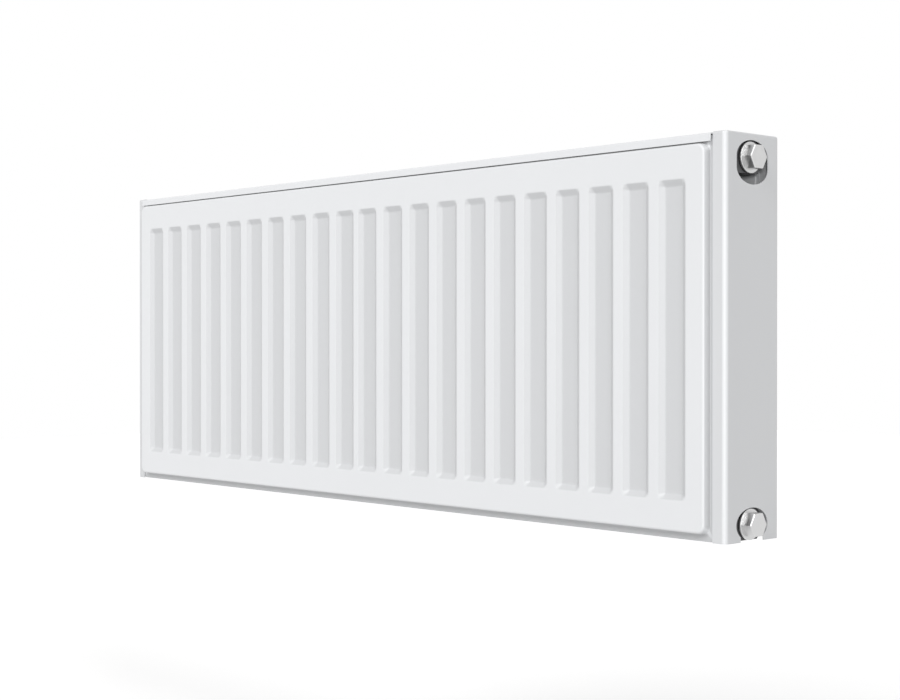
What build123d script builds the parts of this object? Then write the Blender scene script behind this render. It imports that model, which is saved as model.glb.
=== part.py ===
"""Steel panel radiator: two water panels, a convector between them, a top grille and side covers.

Millimetres. +X runs along the radiator to its right-hand end, +Y points to the wall and +Z is up. The
origin is the centre of the four hanging slots, on the plane where the lugs meet the wall brackets.
"""

import os

from build123d import *

# ---- overall sizes -------------------------------------------------------------------------------
LENGTH = 800.0  # over the outer faces of the two side covers
HEIGHT = 300.0  # side covers, bottom edge to top edge
COVER_DEPTH = 62.8  # side cover, front strip to rear strip
PANEL_PROUD = 6.0  # outer face of a panel stands out from the covers' strips
LUG_PROUD = 10.0  # lugs stand behind the rear panel's outer face

# ---- sheet metal ---------------------------------------------------------------------------------
SHEET = 1.2  # panel sheets
COVER_SHEET = 0.8
GRILLE_SHEET = 0.8
FIN_SHEET = 0.5
LUG_SHEET = 2.0
FIT = 0.3  # clearance between painted sheets that only lie beside each other

# ---- panels --------------------------------------------------------------------------------------
LAND_SIDE_MARGIN = 15.4  # edge of the front face, in from a cover's outer face
LAND_BOTTOM_MARGIN = 6.6  # edge of the front face, above the covers' bottom edge
LAND_TOP_MARGIN = 8.7  # the same edge at the top, under the covers' top edge
LAND_CORNER_R = 6.5
BEVEL_RUN = 0.9  # the rim's side wall leans out by this much
SEAM_WIDTH = 5.3  # flat seam outside the side wall
SEAM_CORNER_R = 5.0
SHOULDER_R = 1.8  # outer bend between the rim's side wall and the front face
INNER_DRAW = 4.0  # an inner sheet's land stands off its seam

# ---- grooves -------------------------------------------------------------------------------------
GROOVE_PITCH = 35.6
GROOVE_CLOSING = 3.0  # one gap is this much narrower, where the two press strokes meet
GROOVE_END_MARGIN = 14.0  # least plain land between the end groove and the land's edge
GROOVE_WIDTH = 26.0
GROOVE_FLOOR = 16.5
GROOVE_DEPTH = 3.2
GROOVE_BOTTOM_MARGIN = 29.5  # ends of the grooves, in from the covers' edges
GROOVE_TOP_MARGIN = 33.2
GROOVE_END_RUN = 4.0
GROOVE_R = 2.5

# ---- convector -----------------------------------------------------------------------------------
FIN_BOTTOM_MARGIN = 36.0  # ends of the fins, in from the covers' edges
FIN_TOP_MARGIN = 40.0
FIN_CREST = 7.0  # flat crest welded to a water channel of the front panel
FIN_BACK = 14.0  # flat of each fin towards the rear panel
FIN_BACK_GAP = 3.0  # free gap between those flats and the rear panel
FIN_END = 3.5  # flat beyond the last bend of a strip

# ---- ports ---------------------------------------------------------------------------------------
PORT_TOP_MARGIN = 17.5  # axes of the ports, in from the covers' edges
PORT_BOTTOM_MARGIN = 12.5
BUSH_R = 16.0
BUSH_FLATS = 23.6  # over the flats above and below
BUSH_LENGTH = 26.0
THREAD_R = 9.9  # internal thread of the bush, taken at mid flank
THREAD_LENGTH = 15.0
CHAMBER_R = 8.6  # unthreaded end of the bush, where the water turns into the panel
BUSH_END_WALL = 3.0
PORT_RECESS = 4.1  # mouth of a bush behind the cover's outer face
NECK_R = 6.5
NECK_BORE_R = 4.5
NECK_OFFSET = 3.6  # neck axis nearer to mid-height than the port's axis
NECK_END_STEP = 0.5  # bore of the necks, clear of the chamber's end wall

# ---- blind plugs ---------------------------------------------------------------------------------
THREAD_CLEARANCE = 0.08  # radial, thread of the plug in thread of the bush
PLUG_SHANK = 10.5
PLUG_FLANGE_R = 11.8
PLUG_FLANGE = 1.7
PLUG_HEX = 17.0  # across flats
PLUG_HEX_HEIGHT = 7.5
PLUG_HEX_CHAMFER = 0.5
PLUG_TIP_CHAMFER = 0.88
PLUG_FLANGE_EDGE_R = 0.55
PLUG_HOLLOW_R = 6.5
PLUG_HOLLOW = 9.0
SEAL_SECTION = 1.1  # ring under the flange, squeezed to this thickness
SEAL_R = 11.5
SEAL_INNER_CLEARANCE = 0.3

# ---- side covers ---------------------------------------------------------------------------------
STRIP_WIDTH = 11.9
COVER_EDGE_R = 3.6
COVER_REAR_R = 2.2
COVER_TOP_R = 1.6
OPENING_WIDTH = 37.2
OPENING_ROUND = 24.8  # height of the openings' round ends, both halves together
OPENING_LONGER = 7.8  # the top opening is longer than round by this much
SLOT_WIDTH = 27.0

# ---- top grille ----------------------------------------------------------------------------------
GRILLE_PROUD = 2.4  # flanges stand out from the covers' strips
GRILLE_DROP = 6.2  # height of the front and rear flanges
GRILLE_BELOW_TOP = 0.9  # grille top under the covers' top edge
GRILLE_EDGE_R = 1.5
LOUVRE_LENGTH = 38.0
LOUVRE_WIDTH = 7.0
LOUVRE_ROW_PITCH = 13.0
LOUVRE_COLUMN_PITCH = 46.0
LOUVRE_MARGIN = 5.0  # least plain sheet beside the outermost slots

# ---- hanging lugs --------------------------------------------------------------------------------
LUG_CHANNEL = 2  # lugs are welded on this water channel of the rear panel, counted from either end
LUG_INSET = 60.0  # middle of a lug, in from the covers' top or bottom edge
LUG_WIDTH = 34.0
LUG_HEIGHT = 30.0
LUG_FOOT = 12.0
HANG_SLOT_LENGTH = 18.0
HANG_SLOT_WIDTH = 8.5

# ---- spring clips --------------------------------------------------------------------------------
CLIP_SHEET = 0.8
CLIP_WIDTH = 16.0
CLIP_LEG = 5.0
GRILLE_CLIPS = 3
GRILLE_CLIP_INSET = 170.0  # middle of an end clip, in from the cover's outer face
TAB_HEIGHT = 24.0
TAB_INSET = 70.0  # middle of a cover tab, from the cover's top or bottom edge
TAB_LEG = 14.0

# ---- places worked out from the sizes ------------------------------------------------------------
Z0 = -HEIGHT / 2  # bottom edge
HALF = LENGTH / 2
STRIP_Y = -LUG_PROUD - PANEL_PROUD - COVER_DEPTH  # outer face of the covers' front strips
MIDDLE_Y = STRIP_Y + COVER_DEPTH / 2  # the rear panel is the front one, turned over this plane
LAND_Y = STRIP_Y - PANEL_PROUD  # outer face of the front panel
SEAM_Y = STRIP_Y + COVER_SHEET + FIT  # outer face of the front panel's seam
INNER_SEAM_Y = SEAM_Y + 2 * SHEET  # inner face of the seam
INNER_LAND_Y = INNER_SEAM_Y + INNER_DRAW  # inner face of the front panel
MEET_Y = LAND_Y + GROOVE_DEPTH + SHEET  # where the floors of outer and inner grooves touch
LAND_HALF = HALF - LAND_SIDE_MARGIN
LAND_HEIGHT = HEIGHT - LAND_BOTTOM_MARGIN - LAND_TOP_MARGIN
LAND_Z = (LAND_BOTTOM_MARGIN - LAND_TOP_MARGIN) / 2
SEAM_HALF = LAND_HALF + BEVEL_RUN + SEAM_WIDTH
SEAM_TOP_Z = Z0 + HEIGHT - LAND_TOP_MARGIN + BEVEL_RUN + SEAM_WIDTH
GROOVE_SPAN = 2 * (LAND_HALF - GROOVE_END_MARGIN) - GROOVE_WIDTH + GROOVE_CLOSING
GROOVES = int(GROOVE_SPAN / GROOVE_PITCH) + 1
GROOVES_LEFT = GROOVES // 2  # grooves on the left of the narrower gap
GROOVE_LENGTH = HEIGHT - GROOVE_BOTTOM_MARGIN - GROOVE_TOP_MARGIN
GROOVE_Z = (GROOVE_BOTTOM_MARGIN - GROOVE_TOP_MARGIN) / 2
BUSH_MOUTH_X = HALF - PORT_RECESS
BUSH_INNER_X = BUSH_MOUTH_X - BUSH_LENGTH
NECK_X = BUSH_INNER_X + BUSH_END_WALL + NECK_BORE_R + NECK_END_STEP
GRILLE_TOP_Z = Z0 + HEIGHT - GRILLE_BELOW_TOP
GRILLE_DEPTH = COVER_DEPTH + 2 * GRILLE_PROUD
GRILLE_HALF = HALF - STRIP_WIDTH - FIT
FIN_REAR_Y = 2 * MIDDLE_Y - INNER_LAND_Y - FIN_BACK_GAP
LUG_FOOT_Y = 2 * MIDDLE_Y - LAND_Y  # outer face of the rear panel
SIDES = {"left": -1, "right": 1}
LEVELS = {"bottom": Z0 + PORT_BOTTOM_MARGIN, "top": Z0 + HEIGHT - PORT_TOP_MARGIN}


def groove_centres():
    """X of each groove: equal steps, one of them shorter where the two press strokes meet."""
    span = (GROOVES - 1) * GROOVE_PITCH - GROOVE_CLOSING
    centres = []
    for i in range(GROOVES):
        shift = GROOVE_CLOSING if i >= GROOVES_LEFT else 0.0
        centres.append(-span / 2 + i * GROOVE_PITCH - shift)
    return centres


def channel_centres():
    """X of each water channel between two grooves."""
    centres = groove_centres()
    return [(a + b) / 2 for a, b in zip(centres[:-1], centres[1:])]


def facing(y):
    """Sketch plane at this Y: its x is +X, its y is +Z and its normal points at the room."""
    return Plane(origin=(0, y, 0), x_dir=(1, 0, 0), z_dir=(0, -1, 0))


def end_plane(x, z=0.0):
    """Sketch plane across the radiator at this X: its x is +Y and its normal is +X."""
    return Plane(origin=(x, MIDDLE_Y, z), x_dir=(0, 1, 0), z_dir=(1, 0, 0))


def on_side(part, side):
    """A piece drawn for the right-hand end, turned over for the left-hand one if need be."""
    return part if side > 0 else part.mirror(Plane.YZ)


def at_rear(part):
    """A piece drawn for the front panel, turned over to the rear one."""
    return part.mirror(Plane(origin=(0, MIDDLE_Y, 0), x_dir=(1, 0, 0), z_dir=(0, 1, 0)))


def ribbon(points, thickness):
    """Closed outline of a bent strip: the given line, and a mitred line to its left."""
    count = len(points)
    normals = []
    for (x0, y0), (x1, y1) in zip(points[:-1], points[1:]):
        length = ((x1 - x0) ** 2 + (y1 - y0) ** 2) ** 0.5
        normals.append(((y0 - y1) / length, (x1 - x0) / length))
    offset_points = []
    for i in range(count):
        a = normals[max(i - 1, 0)]
        b = normals[min(i, count - 2)]
        scale = thickness / (1 + a[0] * b[0] + a[1] * b[1])
        offset_points.append((points[i][0] + (a[0] + b[0]) * scale, points[i][1] + (a[1] + b[1]) * scale))
    return points + offset_points[::-1]


def save(part, name):
    """Label a finished piece and write it under its own name."""
    part.label = name
    export_step(part, f"parts/{name}.step")


# ---- pressed panel sheets ------------------------------------------------------------------------
def pan(y_land, y_seam, inset):
    """Solid boss between the seam plane and a land plane, its side walls leaning out."""
    with BuildPart() as boss:
        with BuildSketch(facing(y_seam)):
            with Locations((0, LAND_Z)):
                RectangleRounded(
                    2 * (LAND_HALF + BEVEL_RUN - inset),
                    LAND_HEIGHT + 2 * (BEVEL_RUN - inset),
                    LAND_CORNER_R + BEVEL_RUN - inset,
                )
        with BuildSketch(facing(y_land)):
            with Locations((0, LAND_Z)):
                RectangleRounded(
                    2 * (LAND_HALF - inset),
                    LAND_HEIGHT - 2 * inset,
                    LAND_CORNER_R - inset,
                )
        loft(ruled=True)
        rim = boss.faces().filter_by(Axis.Y).sort_by(Axis.Y)[-1 if y_land > y_seam else 0].edges()
        fillet(rim, radius=SHOULDER_R - inset / 2)
    return boss.part


def groove_cutter(y_open, y_floor, grow):
    """One groove as a solid: its mouth on the land plane, its narrower floor further in."""
    with BuildPart() as cutter:
        with BuildSketch(facing(y_open)):
            RectangleRounded(
                GROOVE_WIDTH + 2 * grow,
                GROOVE_LENGTH + 2 * grow,
                2 * GROOVE_R + grow,
            )
        with BuildSketch(facing(y_floor)):
            RectangleRounded(
                GROOVE_FLOOR + 2 * grow,
                GROOVE_LENGTH - 2 * GROOVE_END_RUN + 2 * grow,
                GROOVE_R + grow,
            )
        loft(ruled=True)
    return cutter.part


def pressed_sheet(y_land, y_seam, y_floor):
    """A sheet drawn out from its seam to a land, with the grooves pressed back in."""
    out = 1 if y_land > y_seam else -1
    inner_groove = groove_cutter(y_land - out * SHEET, y_floor - out * SHEET, SHEET / 2)
    outer_groove = groove_cutter(y_land, y_floor, 0.0)
    places = [(x, 0, GROOVE_Z) for x in groove_centres()]
    with BuildPart() as hollow:
        add(pan(y_land - out * SHEET, y_seam - out * SHEET, SHEET))
        with Locations(places):
            add(inner_groove, mode=Mode.SUBTRACT)
    with BuildPart() as sheet:
        with BuildSketch(facing(y_seam)):
            with Locations((0, LAND_Z)):
                RectangleRounded(
                    2 * SEAM_HALF,
                    LAND_HEIGHT + 2 * (BEVEL_RUN + SEAM_WIDTH),
                    SEAM_CORNER_R,
                )
        extrude(amount=SHEET if out > 0 else -SHEET)
        add(pan(y_land, y_seam, 0.0))
        add(hollow.part, mode=Mode.SUBTRACT)
        with Locations(places):
            add(inner_groove)
            add(outer_groove, mode=Mode.SUBTRACT)
    return sheet.part


def outer_sheet():
    """Sheet of the front panel that faces the room."""
    return pressed_sheet(LAND_Y, SEAM_Y, LAND_Y + GROOVE_DEPTH)


def neck_place(level):
    """Centre of a right-hand neck, on a plane that faces the room."""
    towards_middle = 1 if level == "bottom" else -1
    return (NECK_X, LEVELS[level] + towards_middle * NECK_OFFSET)


def inner_sheet():
    """Sheet of the front panel that faces the convector, with a hole for each neck."""
    with BuildPart() as sheet:
        add(pressed_sheet(INNER_LAND_Y, INNER_SEAM_Y, MEET_Y + SHEET))
        with BuildSketch(facing(INNER_LAND_Y)):
            for side in SIDES.values():
                for level in LEVELS:
                    x, z = neck_place(level)
                    with Locations((side * x, z)):
                        Circle(NECK_BORE_R)
        extrude(amount=2 * SHEET, mode=Mode.SUBTRACT)
    return sheet.part


# ---- convector -----------------------------------------------------------------------------------
def fin_strip(channels):
    """Corrugated strip whose front crests are welded on these channels of the front panel."""
    leg = (GROOVE_PITCH - FIN_CREST - FIN_BACK) / 2
    front = INNER_LAND_Y
    back = FIN_REAR_Y - FIN_SHEET
    first = channels[0] - FIN_CREST / 2 - leg
    last = channels[-1] + FIN_CREST / 2 + leg
    line = [(first - FIN_END, back)]
    for x in channels:
        line.append((x - FIN_CREST / 2 - leg, back))
        line.append((x - FIN_CREST / 2, front))
        line.append((x + FIN_CREST / 2, front))
        line.append((x + FIN_CREST / 2 + leg, back))
    line.append((last + FIN_END, back))
    with BuildPart() as strip:
        with BuildSketch(Plane.XY.offset(Z0 + FIN_BOTTOM_MARGIN)):
            with BuildLine():
                Polyline(*ribbon(line, FIN_SHEET), close=True)
            make_face()
        extrude(amount=HEIGHT - FIN_BOTTOM_MARGIN - FIN_TOP_MARGIN)
    return strip.part


def fin_groups():
    """Channels of each of the three convector strips, with one channel left free between two strips."""
    channels = channel_centres()
    first, last = len(channels) // 3, len(channels) - 1 - len(channels) // 3
    return {
        "convector_left": channels[:first],
        "convector_middle": channels[first + 1 : last],
        "convector_right": channels[last + 1 :],
    }


# ---- ports ---------------------------------------------------------------------------------------
def bush_blank(level):
    """Outer shape of a bush: a round bar with a flat above and below."""
    with BuildPart() as blank:
        with BuildSketch(end_plane(BUSH_MOUTH_X, LEVELS[level])):
            Circle(BUSH_R)
            Rectangle(2 * BUSH_R, BUSH_FLATS, mode=Mode.INTERSECT)
        extrude(amount=-BUSH_LENGTH)
    return blank.part


def neck(level):
    """Short tube from the front panel to the side of a bush, saddle-cut to the bush."""
    with BuildPart() as tube:
        with BuildSketch(facing(INNER_LAND_Y)):
            with Locations(neck_place(level)):
                Circle(NECK_R)
                Circle(NECK_BORE_R, mode=Mode.SUBTRACT)
        extrude(amount=INNER_LAND_Y - MIDDLE_Y)
        add(bush_blank(level), mode=Mode.SUBTRACT)
    return tube.part.solids().sort_by(Axis.Y)[0]


def bush(level):
    """Female connection: thread at the mouth, then a chamber that opens into a neck on either side."""
    with BuildPart() as body:
        add(bush_blank(level))
        with BuildSketch(end_plane(BUSH_MOUTH_X, LEVELS[level])):
            Circle(CHAMBER_R)
        extrude(amount=BUSH_END_WALL - BUSH_LENGTH, mode=Mode.SUBTRACT)
        with BuildSketch(end_plane(BUSH_MOUTH_X, LEVELS[level])):
            Circle(THREAD_R)
        extrude(amount=-THREAD_LENGTH, mode=Mode.SUBTRACT)
        with BuildSketch(facing(INNER_LAND_Y)):
            with Locations(neck_place(level)):
                Circle(NECK_BORE_R)
        extrude(amount=2 * (INNER_LAND_Y - MIDDLE_Y), mode=Mode.SUBTRACT)
    return body.part


def seal(level):
    """Flat ring squeezed between the bush's mouth and the plug's flange."""
    with BuildPart() as ring:
        with BuildSketch(end_plane(BUSH_MOUTH_X, LEVELS[level])):
            Circle(SEAL_R)
            Circle(THREAD_R - THREAD_CLEARANCE + SEAL_INNER_CLEARANCE, mode=Mode.SUBTRACT)
        extrude(amount=SEAL_SECTION)
    return ring.part


def plug(level):
    """Blind plug: threaded hollow shank, round flange and hexagon head."""
    seat_x = BUSH_MOUTH_X + SEAL_SECTION
    with BuildPart() as body:
        with BuildSketch(end_plane(seat_x, LEVELS[level])):
            Circle(THREAD_R - THREAD_CLEARANCE)
        extrude(amount=-PLUG_SHANK)
        chamfer(body.edges().sort_by(Axis.X)[0], length=PLUG_TIP_CHAMFER)
        with BuildSketch(end_plane(seat_x - PLUG_SHANK, LEVELS[level])):
            Circle(PLUG_HOLLOW_R)
        extrude(amount=PLUG_HOLLOW, mode=Mode.SUBTRACT)
        with BuildSketch(end_plane(seat_x, LEVELS[level])):
            Circle(PLUG_FLANGE_R)
        extrude(amount=PLUG_FLANGE)
        fillet(body.edges().sort_by(Axis.X)[-1], radius=PLUG_FLANGE_EDGE_R)
        with BuildSketch(end_plane(seat_x + PLUG_FLANGE, LEVELS[level])):
            RegularPolygon(PLUG_HEX / 2, 6, major_radius=False)
        extrude(amount=PLUG_HEX_HEIGHT)
        chamfer(body.faces().sort_by(Axis.X)[-1].edges(), length=PLUG_HEX_CHAMFER)
    return body.part


# ---- side covers ---------------------------------------------------------------------------------
def cover_block(inset):
    """Solid side cover, each outer face drawn in by the inset; the inner side is left open."""
    with BuildPart() as block:
        with BuildSketch(Plane.XY.offset(Z0 - inset)):
            with Locations((HALF - STRIP_WIDTH - inset, STRIP_Y + inset)):
                Rectangle(STRIP_WIDTH, COVER_DEPTH - 2 * inset, align=(Align.MIN, Align.MIN))
        extrude(amount=HEIGHT)
        upright = block.edges().filter_by(Axis.Z).group_by(Axis.X)[-1].sort_by(Axis.Y)
        fillet(upright[0], radius=COVER_EDGE_R - inset)
        upright = block.edges().filter_by(Axis.Z).group_by(Axis.X)[-1].sort_by(Axis.Y)
        fillet(upright[-1], radius=COVER_REAR_R - inset)
        rim = block.faces().sort_by(Axis.Z)[-1].edges()
        outer = rim.sort_by(Axis.X)[1:]
        fillet(outer, radius=COVER_TOP_R - inset / 2)
    return block.part


def side_cover():
    """Folded side cover: front strip, side wall, rear strip and a turned-over top edge."""
    with BuildPart() as cover:
        add(cover_block(0.0))
        add(cover_block(COVER_SHEET), mode=Mode.SUBTRACT)
        with BuildSketch(end_plane(HALF)):
            with Locations((0, LEVELS["top"]), (0, LEVELS["top"] - OPENING_LONGER)):
                Ellipse(OPENING_WIDTH / 2, OPENING_ROUND / 2)
            with Locations((0, LEVELS["top"] - OPENING_LONGER / 2)):
                Rectangle(OPENING_WIDTH, OPENING_LONGER)
            with Locations((0, LEVELS["bottom"])):
                Ellipse(OPENING_WIDTH / 2, OPENING_ROUND / 2)
            with Locations((0, Z0)):
                Rectangle(SLOT_WIDTH, 2 * PORT_BOTTOM_MARGIN)
        extrude(amount=-STRIP_WIDTH, mode=Mode.SUBTRACT)
    return cover.part


def cover_tab(z):
    """Angle welded inside a cover: with the front strip it grips the panel's side seam."""
    inner_x = HALF - COVER_SHEET
    grip_y = INNER_SEAM_Y + FIT / 2
    corner = (inner_x, grip_y)
    line = [(SEAM_HALF - CLIP_LEG, grip_y), corner, (inner_x, grip_y + TAB_LEG)]
    with BuildPart() as tab:
        with BuildSketch(Plane.XY.offset(z - TAB_HEIGHT / 2)):
            with BuildLine():
                Polyline(*ribbon(line, CLIP_SHEET), close=True)
            make_face()
        extrude(amount=TAB_HEIGHT)
    return tab.part


# ---- top grille ----------------------------------------------------------------------------------
def top_grille():
    """Slotted top sheet with a flange turned down along its front and rear edges."""
    low_z = GRILLE_TOP_Z - GRILLE_DROP
    rows = int((GRILLE_DEPTH - 2 * LOUVRE_MARGIN - LOUVRE_WIDTH) / LOUVRE_ROW_PITCH) + 1
    columns = int((2 * (GRILLE_HALF - LOUVRE_MARGIN) - LOUVRE_LENGTH) / LOUVRE_COLUMN_PITCH) + 1
    with BuildPart() as grille:
        with BuildSketch(Plane.XY.offset(low_z)):
            with Locations((0, MIDDLE_Y)):
                Rectangle(2 * GRILLE_HALF, GRILLE_DEPTH)
        extrude(amount=GRILLE_DROP)
        fillet(grille.edges().filter_by(Axis.X).group_by(Axis.Z)[-1], radius=GRILLE_EDGE_R)
        with BuildSketch(Plane.XY.offset(low_z)):
            with Locations((0, MIDDLE_Y)):
                Rectangle(2 * GRILLE_HALF, GRILLE_DEPTH - 2 * GRILLE_SHEET)
        extrude(amount=GRILLE_DROP - GRILLE_SHEET, mode=Mode.SUBTRACT)
        with BuildSketch(Plane.XY.offset(GRILLE_TOP_Z)):
            with Locations((0, MIDDLE_Y)):
                with GridLocations(LOUVRE_COLUMN_PITCH, LOUVRE_ROW_PITCH, columns, rows):
                    SlotOverall(LOUVRE_LENGTH, LOUVRE_WIDTH)
        extrude(amount=-GRILLE_DROP / 2, mode=Mode.SUBTRACT)
    return grille.part


def grille_clip(x):
    """Spring clip under the grille, hooked over the top seams of both panels."""
    top_z = GRILLE_TOP_Z - GRILLE_SHEET
    front_y = SEAM_Y - FIT / 2 - CLIP_SHEET
    rear_y = 2 * MIDDLE_Y - front_y
    line = [
        (rear_y, SEAM_TOP_Z - CLIP_LEG),
        (rear_y, top_z),
        (front_y, top_z),
        (front_y, SEAM_TOP_Z - CLIP_LEG),
    ]
    with BuildPart() as clip:
        with BuildSketch(Plane(origin=(x - CLIP_WIDTH / 2, 0, 0), x_dir=(0, 1, 0), z_dir=(1, 0, 0))):
            with BuildLine():
                Polyline(*ribbon(line, CLIP_SHEET), close=True)
            make_face()
        extrude(amount=CLIP_WIDTH)
    return clip.part


# ---- hanging lugs --------------------------------------------------------------------------------
def lug(x, z):
    """Bridge welded to the rear panel by two feet, with a level slot for the bracket's hook."""
    half = LUG_HEIGHT / 2
    line = [
        (LUG_FOOT_Y + LUG_SHEET, z - half - LUG_FOOT),
        (LUG_FOOT_Y + LUG_SHEET, z - half),
        (0.0, z - half),
        (0.0, z + half),
        (LUG_FOOT_Y + LUG_SHEET, z + half),
        (LUG_FOOT_Y + LUG_SHEET, z + half + LUG_FOOT),
    ]
    with BuildPart() as bridge:
        with BuildSketch(Plane(origin=(x - LUG_WIDTH / 2, 0, 0), x_dir=(0, 1, 0), z_dir=(1, 0, 0))):
            with BuildLine():
                Polyline(*ribbon(line, LUG_SHEET), close=True)
            make_face()
        extrude(amount=LUG_WIDTH)
        with BuildSketch(facing(0.0)):
            with Locations((x, z)):
                SlotOverall(HANG_SLOT_LENGTH, HANG_SLOT_WIDTH)
        extrude(amount=LUG_SHEET, mode=Mode.SUBTRACT)
    return bridge.part


# ---- build and write every piece -----------------------------------------------------------------
def main():
    os.makedirs("parts", exist_ok=True)
    outer, inner = outer_sheet(), inner_sheet()
    save(at_rear(outer), "rear_panel_outer_sheet")
    save(at_rear(inner), "rear_panel_inner_sheet")
    save(outer, "front_panel_outer_sheet")
    save(inner, "front_panel_inner_sheet")
    for name, channels in fin_groups().items():
        save(fin_strip(channels), name)
    save(top_grille(), "top_grille")
    clip_step = 2 * (HALF - GRILLE_CLIP_INSET) / (GRILLE_CLIPS - 1)
    for i in range(GRILLE_CLIPS):
        save(grille_clip(GRILLE_CLIP_INSET - HALF + i * clip_step), f"grille_clip_{i + 1}")
    for side_name, side in SIDES.items():
        save(on_side(side_cover(), side), f"{side_name}_cover")
        save(on_side(cover_tab(Z0 + TAB_INSET), side), f"{side_name}_cover_tab_low")
        save(on_side(cover_tab(Z0 + HEIGHT - TAB_INSET), side), f"{side_name}_cover_tab_high")
        lug_x = channel_centres()[LUG_CHANNEL if side < 0 else -1 - LUG_CHANNEL]
        for level in LEVELS:
            save(on_side(bush(level), side), f"bush_{level}_{side_name}")
            save(on_side(neck(level), side), f"neck_front_{level}_{side_name}")
            save(on_side(at_rear(neck(level)), side), f"neck_rear_{level}_{side_name}")
        save(lug(lug_x, Z0 + LUG_INSET), f"lug_bottom_{side_name}")
        save(lug(lug_x, Z0 + HEIGHT - LUG_INSET), f"lug_top_{side_name}")
    for level in LEVELS:
        save(seal(level), f"seal_{level}_right")
        save(plug(level), f"plug_{level}_right")


main()
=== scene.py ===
# %% [markdown]
# # A white steel panel radiator
# The frame holds every working piece of the radiator at its real size and place: two water panels of two
# pressed sheets each, convector fins between them, bushes, lugs, clips, covers, grille and plugs. This
# file gives it its looks. The pieces that catch the eye are made again here as smooth surfaces, the
# others keep their own meshes, and all of them get their finishes.

# %% Load the frame
import math

import bpy
import numpy as np
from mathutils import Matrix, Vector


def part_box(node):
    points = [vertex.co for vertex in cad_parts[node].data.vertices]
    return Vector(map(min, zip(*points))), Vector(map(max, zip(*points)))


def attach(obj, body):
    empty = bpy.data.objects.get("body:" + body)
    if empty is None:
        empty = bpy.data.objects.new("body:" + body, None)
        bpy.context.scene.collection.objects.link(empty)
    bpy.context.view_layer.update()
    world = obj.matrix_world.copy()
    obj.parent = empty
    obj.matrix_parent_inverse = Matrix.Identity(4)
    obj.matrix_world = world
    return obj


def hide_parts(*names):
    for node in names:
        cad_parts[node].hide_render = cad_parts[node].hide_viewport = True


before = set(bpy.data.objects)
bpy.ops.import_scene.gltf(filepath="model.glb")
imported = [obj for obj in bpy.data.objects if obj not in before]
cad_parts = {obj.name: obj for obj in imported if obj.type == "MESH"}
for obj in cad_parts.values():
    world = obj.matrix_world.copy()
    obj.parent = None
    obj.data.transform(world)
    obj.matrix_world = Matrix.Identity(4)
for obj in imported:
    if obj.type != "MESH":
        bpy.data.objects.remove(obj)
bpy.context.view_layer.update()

MM = 0.001
COVER_LOW, COVER_HIGH = (np.array(c, dtype=float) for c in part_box("right_cover"))
PANEL_LOW, PANEL_HIGH = (np.array(c, dtype=float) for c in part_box("front_panel_outer_sheet"))
GRILLE_LOW, GRILLE_HIGH = (np.array(c, dtype=float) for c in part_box("top_grille"))

# %% [markdown]
# ## From points to pieces
# Every new piece starts as one or more grids of points worked out with numpy. A grid is an array of rows,
# columns and x, y, z. Four neighbouring points make a face. Where two grids share an edge they share its
# points, so merging equal points closes the seam, and a row that shrinks to one point closes a pole.
# Doing this with whole arrays is quick, and it leaves nothing to be moved by hand afterwards.


# %% Grids to faces
def grid_faces(rows, columns, first, flip):
    """Corner numbers of each face of a grid whose points are numbered row by row."""
    r, c = np.meshgrid(np.arange(rows - 1), np.arange(columns - 1), indexing="ij")
    a = first + r * columns + c
    quads = np.stack([a, a + 1, a + 1 + columns, a + columns], axis=-1).reshape(-1, 4)
    return quads[:, ::-1] if flip else quads


def merged(points, faces):
    """Points that agree to a tenth of a micrometre become one, and flat faces lose their doubled corner."""
    keys = np.round(points / 1e-7).astype(np.int64)
    _, first, back = np.unique(keys, axis=0, return_index=True, return_inverse=True)
    faces = back.reshape(-1)[faces]
    doubled = faces == np.roll(faces, -1, axis=1)
    whole = faces[doubled.sum(axis=1) == 0]
    once = doubled.sum(axis=1) == 1
    corners = faces[once][~doubled[once]].reshape(-1, 3)
    return points[first], [*whole.tolist(), *corners.tolist()]


def keep_rims_sharp(mesh):
    """Marks every open edge as sharp, so that the cut edge of a sheet does not round off its flat face."""
    used = np.empty(len(mesh.loops), dtype=np.int32)
    mesh.loops.foreach_get("edge_index", used)
    keen = np.empty(len(mesh.edges), dtype=bool)
    mesh.edges.foreach_get("use_edge_sharp", keen)
    mesh.edges.foreach_set("use_edge_sharp", keen | (np.bincount(used, minlength=len(keen)) == 1))


def piece(name, grids, body, material, stands_for, wall=0.0, sharp=40.0, shade=None):
    """Puts the grids into one mesh object, gives it its wall, its finish and the body that it rides on.

    The shade, if there is one, works out a number from 0 to 1 for every point, for the finish to mix
    its coat by as painted shade.
    """
    stacked, faces, count = [], [], 0
    for points, flip in grids:
        rows, columns = points.shape[:2]
        faces.append(grid_faces(rows, columns, count, flip))
        stacked.append(points.reshape(-1, 3))
        count += rows * columns
    verts, polygons = merged(np.concatenate(stacked), np.concatenate(faces))
    mesh = bpy.data.meshes.new(name)
    mesh.from_pydata(verts, [], polygons)
    mesh.update()
    mesh.polygons.foreach_set("use_smooth", np.ones(len(mesh.polygons), dtype=bool))
    mesh.set_sharp_from_angle(angle=math.radians(sharp))
    keep_rims_sharp(mesh)
    mesh.materials.append(material)
    # Painted shade: the number is stored on the points, where the finish reads it.
    if shade:
        values = mesh.attributes.new("painted_shade", "FLOAT", "POINT")
        values.data.foreach_set("value", shade(verts).astype(np.float32))
    made = bpy.data.objects.new(name, mesh)
    bpy.context.scene.collection.objects.link(made)
    if wall:
        solid = made.modifiers.new("sheet", "SOLIDIFY")
        solid.thickness = wall
        solid.offset = -1.0
        solid.use_even_offset = True
        solid.use_quality_normals = True
    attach(made, body)
    for node in stands_for:
        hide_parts(node)
    print(name, "points", len(verts), "faces", len(polygons))
    return made


# %% [markdown]
# ## The camera
# The radiator is looked at from in front and to the right, level with its middle, by a normal lens. The
# place is given from the front lower corner of the right-hand cover, so that it follows the frame.

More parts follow.
